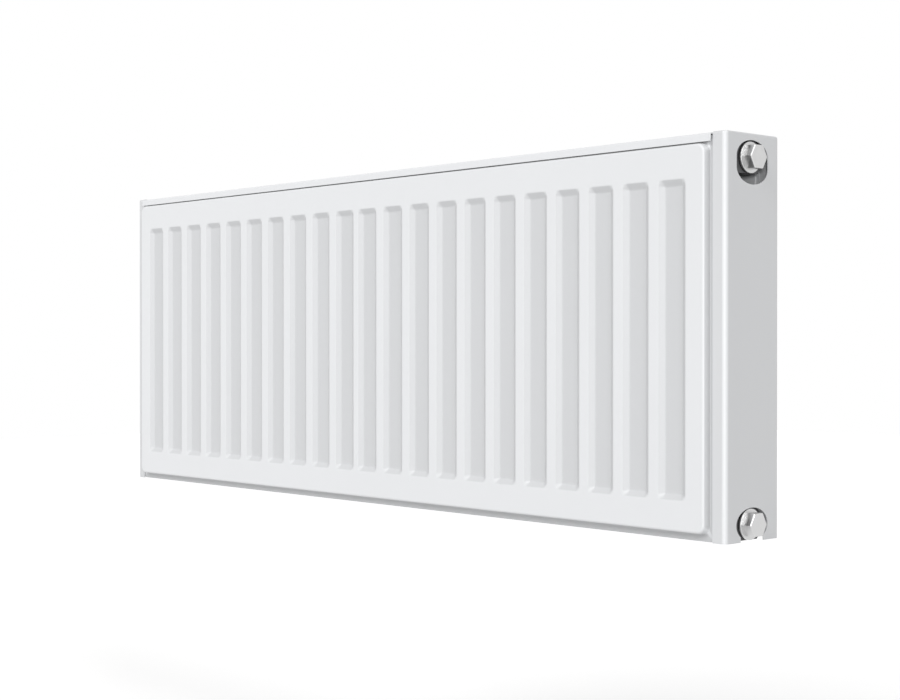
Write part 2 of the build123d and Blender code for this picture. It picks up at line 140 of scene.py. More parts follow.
# %% Camera
CAMERA_FROM_CORNER = np.array([742.9, -940.3, 147.4]) * MM
CAMERA_TURN = 47.867
CAMERA_DIP = 0.316
LENS = 65.458

corner = np.array([COVER_HIGH[0], COVER_LOW[1], COVER_LOW[2]])
camera_data = bpy.data.cameras.new("camera")
camera_data.lens = LENS
camera_data.sensor_width = 36.0
camera_data.clip_start = 0.05
camera_data.clip_end = 50.0
camera = bpy.data.objects.new("camera", camera_data)
camera.location = corner + CAMERA_FROM_CORNER
camera.rotation_euler = (math.radians(90.0 - CAMERA_DIP), 0.0, math.radians(CAMERA_TURN))
bpy.context.scene.collection.objects.link(camera)
bpy.context.scene.camera = camera
print("camera at", [round(c, 4) for c in camera.location])

# %% [markdown]
# ## Finishes
# The radiator is dipped and then powder-coated, which gives a smooth semi-gloss white with a very faint
# orange peel. In Blender that is a Principled surface with a fine noise in its bump, and another, much
# larger and weaker, in its roughness. All noises read Object coordinates, so that they stay on the piece.


# %% Node helper
def finish_nodes(name, colour, roughness, metallic=0.0):
    """A material with its Principled node, and the Object coordinates for its patterns."""
    material = bpy.data.materials.new(name)
    material.use_nodes = True
    nodes, links = material.node_tree.nodes, material.node_tree.links
    shader = nodes["Principled BSDF"]
    shader.inputs["Base Color"].default_value = (*colour, 1.0)
    shader.inputs["Roughness"].default_value = roughness
    shader.inputs["Metallic"].default_value = metallic
    place = nodes.new("ShaderNodeTexCoord")
    return material, shader, nodes, links, place.outputs["Object"]


def noise(nodes, links, place, grain, detail=2.0, stretch=(1.0, 1.0, 1.0)):
    """Noise whose spots are about this many millimetres across, longer where stretch is under one."""
    spread = nodes.new("ShaderNodeMapping")
    spread.inputs["Scale"].default_value = stretch
    links.new(place, spread.inputs["Vector"])
    texture = nodes.new("ShaderNodeTexNoise")
    texture.inputs["Scale"].default_value = 1000.0 / grain
    texture.inputs["Detail"].default_value = detail
    links.new(spread.outputs["Vector"], texture.inputs["Vector"])
    return texture.outputs["Fac"]


def between(nodes, links, factor, low, high):
    """The factor's middle stretch, spread from low to high."""
    ramp = nodes.new("ShaderNodeMapRange")
    ramp.inputs["From Min"].default_value = 0.3
    ramp.inputs["From Max"].default_value = 0.7
    ramp.inputs["To Min"].default_value = low
    ramp.inputs["To Max"].default_value = high
    links.new(factor, ramp.inputs["Value"])
    return ramp.outputs["Result"]


def tinted(nodes, links, factor, dark, light):
    """A colour between two, by a factor."""
    mix = nodes.new("ShaderNodeMix")
    mix.data_type = "RGBA"
    mix.inputs["A"].default_value = (*dark, 1.0)
    mix.inputs["B"].default_value = (*light, 1.0)
    links.new(factor, mix.inputs["Factor"])
    return mix.outputs["Result"]


def bumped(nodes, links, shader, height, depth):
    """Relief of this depth in millimetres under the shader's normal."""
    bump = nodes.new("ShaderNodeBump")
    bump.inputs["Strength"].default_value = 1.0
    bump.inputs["Distance"].default_value = depth * MM
    links.new(height, bump.inputs["Height"])
    links.new(bump.outputs["Normal"], shader.inputs["Normal"])


# %% White enamel
WHITE = (0.815, 0.825, 0.84)
# The covers: flats painted darker as painted shade, the front bend lighter as a painted highlight.
COVER_FLAT_SHADE_TONE = 0.84
BEND_HIGHLIGHT_TONE = 0.97
COVER_GLOSS = 0.9
COVER_ROUGHNESS = 0.42
# Painted shade: a darker white for the parts between the panels.
INNER_SHADE_TONE = 0.80
# Painted shade on the panels: its tone, and how much of it the grooves' slopes and floors get.
PANEL_SHADE_TONE = 0.69
SLOPE_SHADE = 0.56
FLOOR_SHADE = 0.64


def enamel(name, tone, peel=0.012, painted_shade=None, gloss=0.45, roughness=0.34):
    """Semi-gloss stoved enamel: orange peel about 2 mm across, cloudiness about 60 mm across.

    With a shade tone, the coat goes to that tone where the point's shade number rises. That is painted
    shade in the panels' grooves and rim and on the covers' flats, and it leaves the covers' front bend
    lighter as a painted highlight.
    """
    colour = tuple(c * tone for c in WHITE)
    material, shader, nodes, links, place = finish_nodes(name, colour, roughness)
    shader.inputs["Specular IOR Level"].default_value = gloss
    cloud = noise(nodes, links, place, 60.0)
    coat = tinted(nodes, links, cloud, tuple(c * 0.985 for c in colour), colour)
    # Painted shade: the point's shade number mixes the coat towards the darker tone.
    if painted_shade:
        depth = nodes.new("ShaderNodeAttribute")
        depth.attribute_name = "painted_shade"
        thin = nodes.new("ShaderNodeMix")
        thin.data_type = "RGBA"
        thin.inputs["B"].default_value = (*(c * painted_shade for c in WHITE), 1.0)
        links.new(coat, thin.inputs["A"])
        links.new(depth.outputs["Fac"], thin.inputs["Factor"])
        coat = thin.outputs["Result"]
    links.new(coat, shader.inputs["Base Color"])
    links.new(between(nodes, links, cloud, roughness - 0.03, roughness + 0.03), shader.inputs["Roughness"])
    bumped(nodes, links, shader, noise(nodes, links, place, 2.2, 1.0), peel)
    return material


panel_white = enamel("panel white", 1.0, painted_shade=PANEL_SHADE_TONE)
cover_white = enamel("cover white", BEND_HIGHLIGHT_TONE, painted_shade=COVER_FLAT_SHADE_TONE, gloss=COVER_GLOSS,
                     roughness=COVER_ROUGHNESS)
# Painted shade: the inner sheets, convector and lugs get a darker white than the panels.
inner_white = enamel("inner white", INNER_SHADE_TONE, 0.02)


# %% Metals and rubber
def plated(name, colour, roughness, grain=0.35):
    """Plated steel: fine scratches from machining and soft dull spots from handling."""
    material, shader, nodes, links, place = finish_nodes(name, colour, roughness, 1.0)
    spots = noise(nodes, links, place, 6.0)
    darker = tuple(c * 0.9 for c in colour)
    links.new(tinted(nodes, links, spots, darker, colour), shader.inputs["Base Color"])
    links.new(between(nodes, links, spots, roughness * 0.85, roughness * 1.2), shader.inputs["Roughness"])
    bumped(nodes, links, shader, noise(nodes, links, place, grain, 3.0), 0.01)
    return material


def dull(name, colour, roughness, grain):
    """A matt surface with a small grain, for moulded rubber and for the near-black steel of the bushes and
    necks.
    """
    material, shader, nodes, links, place = finish_nodes(name, colour, roughness)
    spots = noise(nodes, links, place, grain, 4.0)
    darker = tuple(c * 0.75 for c in colour)
    links.new(tinted(nodes, links, spots, darker, colour), shader.inputs["Base Color"])
    bumped(nodes, links, shader, spots, 0.02)
    return material


nickel = plated("satin nickel", (0.66, 0.66, 0.66), 0.38)
zinc = plated("zinc plate", (0.55, 0.56, 0.57), 0.42)
# Painted shade: the bushes and necks are near black, so that the inside of the covers looks dark.
shade_dark_steel = dull("dark steel painted shade", (0.10, 0.10, 0.105), 0.55, 1.5)
rubber = dull("black rubber", (0.02, 0.02, 0.02), 0.6, 0.8)
print("materials", [m.name for m in bpy.data.materials])

# %% [markdown]
# ## The pressed front sheet
# One sheet of steel, drawn forward from a flat seam. Its broad face carries upright grooves that are
# pressed back in, with soft shoulders, because the press bends thick sheet over round tools. A bevelled
# box cannot show such shoulders. Here the depth of a groove is a function of how far a point lies inside
# the groove's outline, so that sides and ends get the same smooth slope.

# %% Sizes of the front sheet
LAND_SIDE_MARGIN = 15.4 * MM
LAND_BOTTOM = 6.6 * MM
LAND_TOP = 291.3 * MM
LAND_CORNER = 6.5 * MM
SHEET = 1.2 * MM
LEAN = 0.9 * MM
SHOULDER = 1.8 * MM
ROOT = 1.0 * MM
SEAM_CORNER = 5.0 * MM
RIM_BLEND_IN = 0.2 * MM

GROOVES = 21
GROOVES_LEFT = 10
GROOVE_PITCH = 35.6 * MM
GROOVE_CLOSING = 3.0 * MM
GROOVE_WIDTH = 26.0 * MM
GROOVE_DEPTH = 3.2 * MM
GROOVE_RUN = 4.75 * MM
GROOVE_BOTTOM = 29.5 * MM
GROOVE_TOP = 266.8 * MM
GROOVE_CORNER = 5.0 * MM
GROOVE_SOFT = 0.16
PLAIN_FROM_END = 20.0 * MM

# Rows of points this close beside a bend keep the flat next to it from being shaded as a curve.
GUARD = 0.3 * MM

bottom_z = COVER_LOW[2]
land_half = COVER_HIGH[0] - LAND_SIDE_MARGIN
land_low, land_high = bottom_z + LAND_BOTTOM, bottom_z + LAND_TOP
land_y, seam_y = PANEL_LOW[1], PANEL_HIGH[1] - SHEET
steps = np.arange(GROOVES)
span = (GROOVES - 1) * GROOVE_PITCH - GROOVE_CLOSING
groove_x = -span / 2 + steps * GROOVE_PITCH - np.where(steps >= GROOVES_LEFT, GROOVE_CLOSING, 0.0)
print("face", round(2 * land_half, 4), "grooves from", round(groove_x[0], 4), "to", round(groove_x[-1], 4))


# %% Depth of the grooves
def soft_ramp(t, soft):
    """0 below t = 0, 1 above t = 1, a straight slope between, each corner a parabola of half width soft."""

    def area(u):
        return np.where(u < 0, 0.0, np.where(u > 1, u - 0.5, u * u / 2))

    return (area(t + soft) - area(t - soft)) / (2 * soft)


def inside_rounded(x, z, half_x, half_z, radius):
    """Distance from the outline of a rounded rectangle, positive inside."""
    qx, qz = np.abs(x) - half_x + radius, np.abs(z) - half_z + radius
    outside = np.hypot(np.maximum(qx, 0), np.maximum(qz, 0))
    return radius - outside - np.minimum(np.maximum(qx, qz), 0)


def groove_depth(x, z):
    """Depth at each point: the soft ramp of the distance inside the nearest groove, over its run."""
    nearest = groove_x[np.abs(x[..., None] - groove_x).argmin(axis=-1)]
    middle, half = bottom_z + (GROOVE_TOP + GROOVE_BOTTOM) / 2, (GROOVE_TOP - GROOVE_BOTTOM) / 2
    inside = inside_rounded(x - nearest, z - middle, GROOVE_WIDTH / 2, half, GROOVE_CORNER)
    return GROOVE_DEPTH * soft_ramp(inside / GROOVE_RUN, GROOVE_SOFT)


bend = np.linspace(-GROOVE_SOFT, GROOVE_SOFT, 5) * GROOVE_RUN
slope_steps = np.concatenate([
    [bend[0] - GUARD],
    bend,
    GROOVE_RUN + bend,
    [GROOVE_RUN + bend[-1] + GUARD],
])
across = np.concatenate([-GROOVE_WIDTH / 2 + slope_steps, [0.0], (GROOVE_WIDTH / 2 - slope_steps)[::-1]])
columns = (groove_x[:, None] + across).reshape(-1)
corner_steps = np.append(np.linspace(0.4, 0.95, 4), 1.6) * GROOVE_CORNER
end_steps = np.sort(np.concatenate([slope_steps, corner_steps]))
plain = np.linspace(GROOVE_BOTTOM + PLAIN_FROM_END, GROOVE_TOP - PLAIN_FROM_END, 9)
rows = bottom_z + np.concatenate([GROOVE_BOTTOM + end_steps, plain, (GROOVE_TOP - end_steps)[::-1]])
inner_half = land_half - LAND_CORNER
inner_low, inner_high = land_low + LAND_CORNER, land_high - LAND_CORNER
columns = np.concatenate([[-inner_half], columns, [inner_half]])
rows = np.concatenate([[inner_low], rows, [inner_high]])
grid_x, grid_z = np.meshgrid(columns, rows)
face_grid = np.stack([grid_x, land_y + groove_depth(grid_x, grid_z), grid_z], axis=-1)
print("face grid", face_grid.shape)


# %% The rim of the front sheet
def loop_points(half_x, low_z, high_z, radius, corner_steps=10):
    """Anticlockwise loop round a rounded rectangle, seen from the room.

    Straight stretches use the columns and rows of the face, and each corner is an arc round its centre.
    """
    angles = np.linspace(0.0, np.pi / 2, corner_steps)
    centre_x, centre_low, centre_high = half_x - radius, low_z + radius, high_z - radius
    parts = []

    def arc(x, z, start):
        turn = start + angles
        parts.append(np.stack([x + radius * np.cos(turn), z + radius * np.sin(turn)], axis=-1))

    up, along = rows[1:-1], columns[1:-1]
    parts.append(np.stack([np.full(up.size, half_x), up], axis=-1))
    arc(centre_x, centre_high, 0.0)
    parts.append(np.stack([along[::-1], np.full(along.size, high_z)], axis=-1))
    arc(-centre_x, centre_high, np.pi / 2)
    parts.append(np.stack([np.full(up.size, -half_x), up[::-1]], axis=-1))
    arc(-centre_x, centre_low, np.pi)
    parts.append(np.stack([along, np.full(along.size, low_z)], axis=-1))
    arc(centre_x, centre_low, 1.5 * np.pi)
    ring = np.concatenate(parts)
    return np.concatenate([ring, ring[:1]])


WALL_GUARDS = np.array([0.08, 0.92])[:, None]


def rim_profile():
    """Outward step and depth down the rim: round shoulder, leaning wall, hollow root, flat seam.

    The wall leans by a fixed run over the draw. Each bend is an arc of the angle between its neighbours.
    """
    draw = seam_y - land_y
    tilt = math.atan2(draw, LEAN)
    turn = np.linspace(0.0, tilt, 9)
    cut = SHOULDER * math.tan(tilt / 2)
    shoulder = np.stack([-cut + SHOULDER * np.sin(turn), SHOULDER * (1 - np.cos(turn))], axis=-1)
    cut = ROOT * math.tan(tilt / 2)
    root = np.stack([LEAN + cut - ROOT * np.sin(turn), draw - ROOT * (1 - np.cos(turn))], axis=-1)[::-1]
    before, after = [[shoulder[0, 0] - GUARD, 0.0]], [[root[-1, 0] + GUARD, draw]]
    wall = shoulder[-1] * (1 - WALL_GUARDS) + root[0] * WALL_GUARDS
    return np.concatenate([before, shoulder, wall, root, after])


def rim_grid():
    """The rim's profile carried round the face: every ring shares the corner centres of the face."""
    rings = [(-LAND_CORNER, 0.0), *rim_profile()]
    loops = []
    for out, depth in rings:
        flat = loop_points(land_half + out, land_low - out, land_high + out, LAND_CORNER + out)
        loops.append(np.stack([flat[:, 0], np.full(len(flat), land_y + depth), flat[:, 1]], axis=-1))
    flat = loop_points(PANEL_HIGH[0], PANEL_LOW[2], PANEL_HIGH[2], SEAM_CORNER)
    loops.append(np.stack([flat[:, 0], np.full(len(flat), seam_y), flat[:, 1]], axis=-1))
    return np.stack(loops)


def turned_over(grids):
    """The same grids for the rear panel, turned over the plane midway between the covers' strips."""
    middle = (COVER_LOW[1] + COVER_HIGH[1]) / 2
    return [(points * np.array([1.0, -1.0, 1.0]) + np.array([0.0, 2 * middle, 0.0]), not flip)
            for points, flip in grids]


def painted_shade(verts):
    """Painted shade: 0 on the broad face, more in the grooves, and 1 down the rim to the seam."""
    inside = (np.abs(verts[:, 0]) < inner_half) & (verts[:, 2] > inner_low) & (verts[:, 2] < inner_high)
    deep = groove_depth(verts[:, 0], verts[:, 2]) / GROOVE_DEPTH
    on_slope = np.clip(deep / 0.1, 0.0, 1.0)
    on_floor = np.clip((deep - 0.84) / 0.12, 0.0, 1.0)
    in_groove = SLOPE_SHADE * on_slope + (FLOOR_SHADE - SLOPE_SHADE) * on_floor
    beyond_x = np.abs(verts[:, 0]) - land_half
    beyond_z = np.maximum(land_low - verts[:, 2], verts[:, 2] - land_high)
    on_rim = np.clip((np.maximum(beyond_x, beyond_z) + RIM_BLEND_IN) / LEAN, 0.0, 1.0)
    return np.where(inside, in_groove, on_rim)


# Painted shade: both panels carry the shade number of their grooves and rim for the finish.
front_grids = [(face_grid, False), (rim_grid(), True)]
front = piece("front_panel", front_grids, "root", panel_white,
              ["front_panel_outer_sheet"], wall=SHEET, sharp=60.0, shade=painted_shade)
rear = piece("rear_panel", turned_over(front_grids), "root", panel_white,
             ["rear_panel_outer_sheet"], wall=SHEET, sharp=60.0, shade=painted_shade)

# %% [markdown]
# ## Side covers
# Each cover is one sheet folded round the radiator's end: a front strip, a broad side, a rear strip and a
# top that is turned over. The bends are round, the front one widest, and they carry the brightest
# highlight of the whole radiator. On the front bend it is partly a painted highlight, since the finish
# paints the flats beside the bend darker as painted shade. The folds are one profile carried up the
# cover and over its top. The openings for the pipes are cut as rings of faces that run from the hole to
# a square round it.

# %% Sizes of a cover
COVER_SHEET = 0.8 * MM
FRONT_BEND = 3.6 * MM
BEND_BLEND = 0.9 * MM
REAR_BEND = 2.2 * MM
TOP_BEND = 1.6 * MM
OPENING_HALF = 18.6 * MM
OPENING_ROUND = 12.4 * MM
OPENING_LONGER = 7.8 * MM
SLOT_HALF = 13.5 * MM
PORT_TOP = 282.5 * MM
PORT_BOTTOM = 12.5 * MM
PATCH_LOW = 254.0 * MM
PATCH_HIGH = 297.5 * MM
LOWER_PATCH = 32.0 * MM
PATCH_COLUMNS = 28
COVER_GUARD = 0.4 * MM
PATCH_ROWS = 20

port_y = sum(float(c[1]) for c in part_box("plug_top_right")) / 2
front_y, rear_y, side_x, inner_x = COVER_LOW[1], COVER_HIGH[1], COVER_HIGH[0], COVER_LOW[0]
top_z = COVER_HIGH[2]
print("port axis", round(port_y, 4), "strip", round(inner_x, 4), "to", round(side_x, 4))


# %% Outline of a cover
def cover_outline(inset):
    """Plan outline from the front strip's edge to the rear strip's, drawn in by the inset.

    Two quarter arcs join three straight lines. The arcs keep their centres, so an inset shrinks them.
    """
    quarter = np.linspace(0.0, np.pi / 2, 9)
    front_r, rear_r = max(FRONT_BEND - inset, 0.0), max(REAR_BEND - inset, 0.0)
    front_c, rear_c = max(FRONT_BEND, inset), max(REAR_BEND, inset)
    edge = np.array([[inner_x, front_y + inset], [side_x - front_c - COVER_GUARD, front_y + inset]])
    bend_x = side_x - front_c + front_r * np.sin(quarter)
    bend_y = front_y + front_c - front_r * np.cos(quarter)
    bend = np.stack([bend_x, bend_y], -1)
    first, final = front_y + FRONT_BEND, rear_y - REAR_BEND
    flat_y = np.linspace(first, final, PATCH_COLUMNS - 1)[1:-1]
    flat_y = np.concatenate([[first + COVER_GUARD], flat_y, [final - COVER_GUARD]])
    flat_y = np.clip(flat_y, front_y + front_c, rear_y - rear_c)
    flat = np.stack([np.full(flat_y.size, side_x - inset), flat_y], -1)
    turn_x = side_x - rear_c + rear_r * np.cos(quarter)
    turn_y = rear_y - rear_c + rear_r * np.sin(quarter)
    turn = np.stack([turn_x, turn_y], -1)
    last = np.array([[side_x - rear_c - COVER_GUARD, rear_y - inset], [inner_x, rear_y - inset]])
    return np.concatenate([edge, bend, flat, turn, last])


def at_height(plan, z):
    """Plan points raised to a height."""
    return np.concatenate([plan, np.full((len(plan), 1), z)], axis=1)


BEND_POINTS = 9
SIDE_FIRST = BEND_POINTS + 1
SIDE_LAST = SIDE_FIRST + PATCH_COLUMNS
plan = cover_outline(0.0)
side_y = plan[SIDE_FIRST : SIDE_LAST + 1, 1]
low_rows = np.linspace(bottom_z, bottom_z + LOWER_PATCH, PATCH_ROWS)
high_rows = np.linspace(bottom_z + PATCH_LOW, bottom_z + PATCH_HIGH, PATCH_ROWS)
all_rows = np.concatenate([low_rows, high_rows])
print("outline", len(plan), "points, side from", round(side_y[0], 4), "to", round(side_y[-1], 4))


# %% Openings in a cover
def round_end(angles, half_y, half_z):
    """Points of an ellipse in y and z at these directions from its centre."""
    reach = 1.0 / np.hypot(np.cos(angles) / half_y, np.sin(angles) / half_z)
    return np.stack([reach * np.cos(angles), reach * np.sin(angles)], axis=-1)


def long_hole(angles, half_y, half_z, longer):
    """Points of an upright hole with elliptic ends and straight sides, at these directions."""
    direction = np.stack([np.cos(angles), np.sin(angles)], axis=-1)
    side = half_y / np.maximum(np.abs(direction[:, 0]), 1e-9)
    on_side = np.abs(side * direction[:, 1]) <= longer / 2
    shift = np.sign(direction[:, 1]) * longer / 2
    a = (direction[:, 0] / half_y) ** 2 + (direction[:, 1] / half_z) ** 2
    b = -2 * direction[:, 1] * shift / half_z**2
    c = (shift / half_z) ** 2 - 1
    on_end = (-b + np.sqrt(np.maximum(b * b - 4 * a * c, 0.0))) / (2 * a)
    return direction * np.where(on_side, side, on_end)[:, None]


def keyhole(angles):
    """Points of the lower opening: the ellipse, cut off by the slot's two upright sides below it."""
    on_round = round_end(angles, OPENING_HALF, OPENING_ROUND)
    inside_slot = (np.abs(on_round[:, 0]) < SLOT_HALF) & (on_round[:, 1] < 0)
    down = np.tan(angles) * np.sign(np.cos(angles)) * SLOT_HALF
    on_slot = np.stack([np.sign(np.cos(angles)) * SLOT_HALF, down], axis=-1)
    return np.where(inside_slot[:, None], on_slot, on_round)


def ring_patch(outer, hole, layers=6):
    """Faces between a hole and the edge round it: straight spokes, closer together near the hole."""
    share = (np.linspace(0.0, 1.0, layers) ** 1.6)[:, None, None]
    flat = hole[None] * (1 - share) + outer[None] * share
    return np.concatenate([np.full((*flat.shape[:2], 1), side_x), flat], axis=-1)


def upper_patch():
    """Ring of faces round the upper opening."""
    right, left = side_y[-1], side_y[0]
    outer = np.concatenate([
        np.stack([np.full(PATCH_ROWS - 1, right), high_rows[:-1]], -1),
        np.stack([side_y[::-1][:-1], np.full(PATCH_COLUMNS, high_rows[-1])], -1),
        np.stack([np.full(PATCH_ROWS - 1, left), high_rows[::-1][:-1]], -1),
        np.stack([side_y, np.full(PATCH_COLUMNS + 1, high_rows[0])], -1),
    ])
    middle = np.array([port_y, bottom_z + PORT_TOP - OPENING_LONGER / 2])
    outer[-1] = outer[0]
    away = outer - middle
    angles = np.arctan2(away[:, 1], away[:, 0])
    return ring_patch(outer, middle + long_hole(angles, OPENING_HALF, OPENING_ROUND, OPENING_LONGER))


def lower_patch():
    """Band of faces round the keyhole, open at the bottom edge like the keyhole itself."""
    right, left = side_y[-1], side_y[0]
    outer = np.concatenate([
        np.stack([np.full(PATCH_ROWS - 1, right), low_rows[:-1]], -1),
        np.stack([side_y[::-1][:-1], np.full(PATCH_COLUMNS, low_rows[-1])], -1),
        np.stack([np.full(PATCH_ROWS, left), low_rows[::-1]], -1),
    ])
    middle = np.array([port_y, bottom_z + PORT_BOTTOM])
    away = outer - middle
    angles = np.unwrap(np.arctan2(away[:, 1], away[:, 0]))
    slot_angle = math.atan2(PORT_BOTTOM, SLOT_HALF)
    first, last = -slot_angle, math.pi + slot_angle
    angles = first + (angles - angles[0]) * (last - first) / (angles[-1] - angles[0])
    return ring_patch(outer, middle + keyhole(angles))


# %% Fold a cover
def cover_grids():
    """The folded sheet: strips and bends at full height, plain side between the patches, turned top."""
    flat = np.stack([at_height(plan, z) for z in all_rows])
    fold = np.linspace(0.0, np.pi / 2, 8)
    inset = TOP_BEND * (1 - np.cos(fold))
    heights = top_z - TOP_BEND + TOP_BEND * np.sin(fold)
    top = [at_height(cover_outline(i), z) for i, z in zip(inset, heights)]
    lid = top[-1].copy()
    lid[:, 0] = inner_x
    middle_rows = flat[PATCH_ROWS - 1 : PATCH_ROWS + 1, SIDE_FIRST : SIDE_LAST + 1]
    shoulder = np.stack([flat[-1], at_height(plan, top_z - TOP_BEND - COVER_GUARD)])
    return [
        (flat[:, : SIDE_FIRST + 1], False),
        (flat[:, SIDE_LAST:], False),
        (middle_rows, False),
        (upper_patch(), True),
        (lower_patch(), True),
        (np.concatenate([shoulder[:1], np.stack(top), lid[None]]), False),
    ]


def mirrored(grids):
    """The same grids for the other end of the radiator."""
    return [(points * np.array([-1.0, 1.0, 1.0]), not flip) for points, flip in grids]


def off_the_bend(verts):
    """Painted shade: 0 on the round of the front bend, a painted highlight, and 1 on the flats beside it.
    """
    past_x = np.abs(verts[:, 0]) - (side_x - FRONT_BEND)
    past_y = front_y + FRONT_BEND - verts[:, 1]
    return 1.0 - np.clip(np.minimum(past_x, past_y) / BEND_BLEND, 0.0, 1.0)


# Painted shade on the covers' flats, and a painted highlight on their front bend.
right_grids = cover_grids()
right_cover = piece("right_side_cover", right_grids, "right_cover", cover_white,
                    ["right_cover"], wall=COVER_SHEET, sharp=50.0, shade=off_the_bend)
left_cover = piece("left_side_cover", mirrored(right_grids), "left_cover", cover_white,
                   ["left_cover"], wall=COVER_SHEET, sharp=50.0, shade=off_the_bend)

# %% [markdown]
# ## The top grille
# Warm air leaves through rows of round-ended slots in a thin sheet, whose long edges are turned down. One
# slot with the patch of sheet round it is a small ring of faces. The ring is worked out once and repeated
# by adding an array of offsets, and the bent edges are one profile carried along the radiator.

# %% Sizes of the grille
GRILLE_SHEET = 0.8 * MM
GRILLE_BEND = 1.5 * MM
GRILLE_GUARD = 0.3 * MM
SLOT_LENGTH = 38.0 * MM
SLOT_WIDTH = 7.0 * MM
SLOT_ROWS = 4
SLOT_COLUMNS = 16
SLOT_ROW_PITCH = 13.0 * MM
SLOT_COLUMN_PITCH = 46.0 * MM
SLOT_EDGE_POINTS = 10
SLOT_END_POINTS = 8


def slot_outline(cell):
    """The slot's edge point for each point on the edge of its cell, given from the cell's middle.

    Points along the cell's long edges go to the straight sides. Points along its short edges are spread
    evenly over the half circles at the slot's ends.
    """
    across, along = cell[:, 0] / (SLOT_COLUMN_PITCH / 2), cell[:, 1] / (SLOT_ROW_PITCH / 2)
    straight, radius = (SLOT_LENGTH - SLOT_WIDTH) / 2, SLOT_WIDTH / 2
    at_end = np.isclose(np.abs(across), 1.0)
    turn = along * np.pi / 2
    x = np.where(at_end, np.sign(across) * (straight + radius * np.cos(turn)), across * straight)
    y = np.where(at_end, radius * np.sin(turn), np.sign(along) * radius)
    return np.stack([x, y], axis=-1)


# %% Press the grille
def louvre_cells(middle_y):
    """Every slot's ring of faces, from the slot's edge to the edge of its cell."""
    half_x, half_y = SLOT_COLUMN_PITCH / 2, SLOT_ROW_PITCH / 2
    xs = np.linspace(-half_x, half_x, SLOT_EDGE_POINTS + 1)
    ys = np.linspace(-half_y, half_y, SLOT_END_POINTS + 1)
    cell = np.concatenate([
        np.stack([np.full(SLOT_END_POINTS, half_x), ys[:-1]], -1),
        np.stack([xs[::-1][:-1], np.full(SLOT_EDGE_POINTS, half_y)], -1),
        np.stack([np.full(SLOT_END_POINTS, -half_x), ys[::-1][:-1]], -1),
        np.stack([xs, np.full(SLOT_EDGE_POINTS + 1, -half_y)], -1),
    ])
    cell[-1] = cell[0]
    slot = slot_outline(cell)
    rings = np.stack([slot, cell * 0.5 + slot * 0.5, cell])
    column_x = (np.arange(SLOT_COLUMNS) - (SLOT_COLUMNS - 1) / 2) * SLOT_COLUMN_PITCH
    row_y = middle_y + (np.arange(SLOT_ROWS) - (SLOT_ROWS - 1) / 2) * SLOT_ROW_PITCH
    for x in column_x:
        for y in row_y:
            place = rings + np.array([x, y])
            yield np.concatenate([place, np.full((*place.shape[:2], 1), GRILLE_HIGH[2])], axis=-1)


def grille_grids():
    """Slotted middle, plain ends, and the bent edges as a profile carried along the radiator."""
    low, high = GRILLE_LOW, GRILLE_HIGH
    middle_y = (low[1] + high[1]) / 2
    field_x = SLOT_COLUMNS * SLOT_COLUMN_PITCH / 2
    field_y = SLOT_ROWS * SLOT_ROW_PITCH / 2
    xs = np.linspace(-field_x, field_x, SLOT_COLUMNS * SLOT_EDGE_POINTS + 1)
    xs = np.concatenate([[low[0]], xs, [high[0]]])
    quarter = np.linspace(0.0, np.pi / 2, 7)
    grids = [(cell, True) for cell in louvre_cells(middle_y)]
    for outer_y, edge_y, turn in ((low[1], middle_y - field_y, 1), (high[1], middle_y + field_y, -1)):
        bend_y = outer_y + turn * GRILLE_BEND * (1 - np.sin(quarter))
        bend_z = high[2] - GRILLE_BEND + GRILLE_BEND * np.cos(quarter)
        guard_y = outer_y + turn * (GRILLE_BEND + GRILLE_GUARD)
        ys = np.concatenate([[edge_y, guard_y], bend_y, [outer_y, outer_y]])
        zs = np.concatenate([[high[2], high[2]], bend_z, [bend_z[-1] - GRILLE_GUARD, low[2]]])
        band = np.stack([np.broadcast_to(xs, (len(ys), len(xs))), np.repeat(ys[:, None], len(xs), 1),
                         np.repeat(zs[:, None], len(xs), 1)], axis=-1)
        grids.append((band, turn > 0))
    ys = middle_y + np.linspace(-field_y, field_y, SLOT_END_POINTS * SLOT_ROWS + 1)
    for x0, x1 in ((low[0], -field_x), (field_x, high[0])):
        gx, gy = np.meshgrid(np.array([x0, x1]), ys)
        grids.append((np.stack([gx, gy, np.full(gx.shape, high[2])], axis=-1), False))
    return grids


grille = piece("grille", grille_grids(), "top_grille", panel_white, ["top_grille"],
               wall=GRILLE_SHEET, sharp=50.0)

# %% [markdown]
# ## The blind plugs
# A plug is turned from bar: a hollow shank with a pipe thread, a round flange that squeezes a ring, and a
# hexagon for the spanner. The thread is worked out, not painted: the radius of the shank rises and falls
# with the height above a helix, so that it shows when the plug is screwed out.

# %% Sizes of a plug
THREAD_CREST = 9.82 * MM
THREAD_HEIGHT = 0.7 * MM
THREAD_PITCH = 1.814 * MM
SHANK = 10.5 * MM
THREAD_START = 0.9 * MM
THREAD_FADE = 1.2 * MM
RELIEF = 1.6 * MM
FLANGE_RADIUS = 11.8 * MM
FLANGE_HEIGHT = 1.7 * MM
FLANGE_EDGE = 0.55 * MM
HEX_FLATS = 17.0 * MM
HEX_CHAMFER = 0.5 * MM
HOLLOW_RADIUS = 6.5 * MM
HOLLOW_DEPTH = 9.0 * MM


